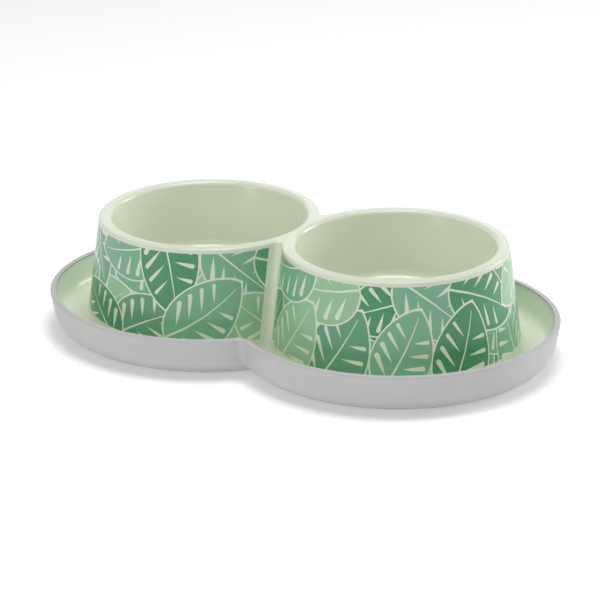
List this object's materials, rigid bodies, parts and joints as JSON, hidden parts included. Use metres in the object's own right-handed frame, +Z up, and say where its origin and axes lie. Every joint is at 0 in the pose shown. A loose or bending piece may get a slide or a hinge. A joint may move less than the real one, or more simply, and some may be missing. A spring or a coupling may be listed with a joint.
{
  "type": "double pet bowl",
  "caption": "Double pet bowl: round food and water bowls with leaning skirts on one spill tray, with a soft non-slip rim and a printed leaf film round each skirt.",
  "frame": {"origin": "on the table, midway between the bowls, at the bottom of the soft foot", "axes": "+Z up; +X along the row of bowls to the right bowl, seen from the front; -Y is the front"},
  "size_m": [0.3262, 0.1988, 0.0712],
  "materials": {
    "bowl_plastic": "pale green polypropylene, softly glossy, fine moulded surface",
    "soft_rim": "light grey thermoplastic elastomer, matt, non-slip",
    "printed_film": "in-mould film printed with leaves in greens, glossy"
  },
  "bodies": {
    "root": {"bowl_body": "bowl_plastic", "non_slip_rim": "soft_rim", "left_label": "printed_film", "right_label": "printed_film"}
  },
  "joints": []
}
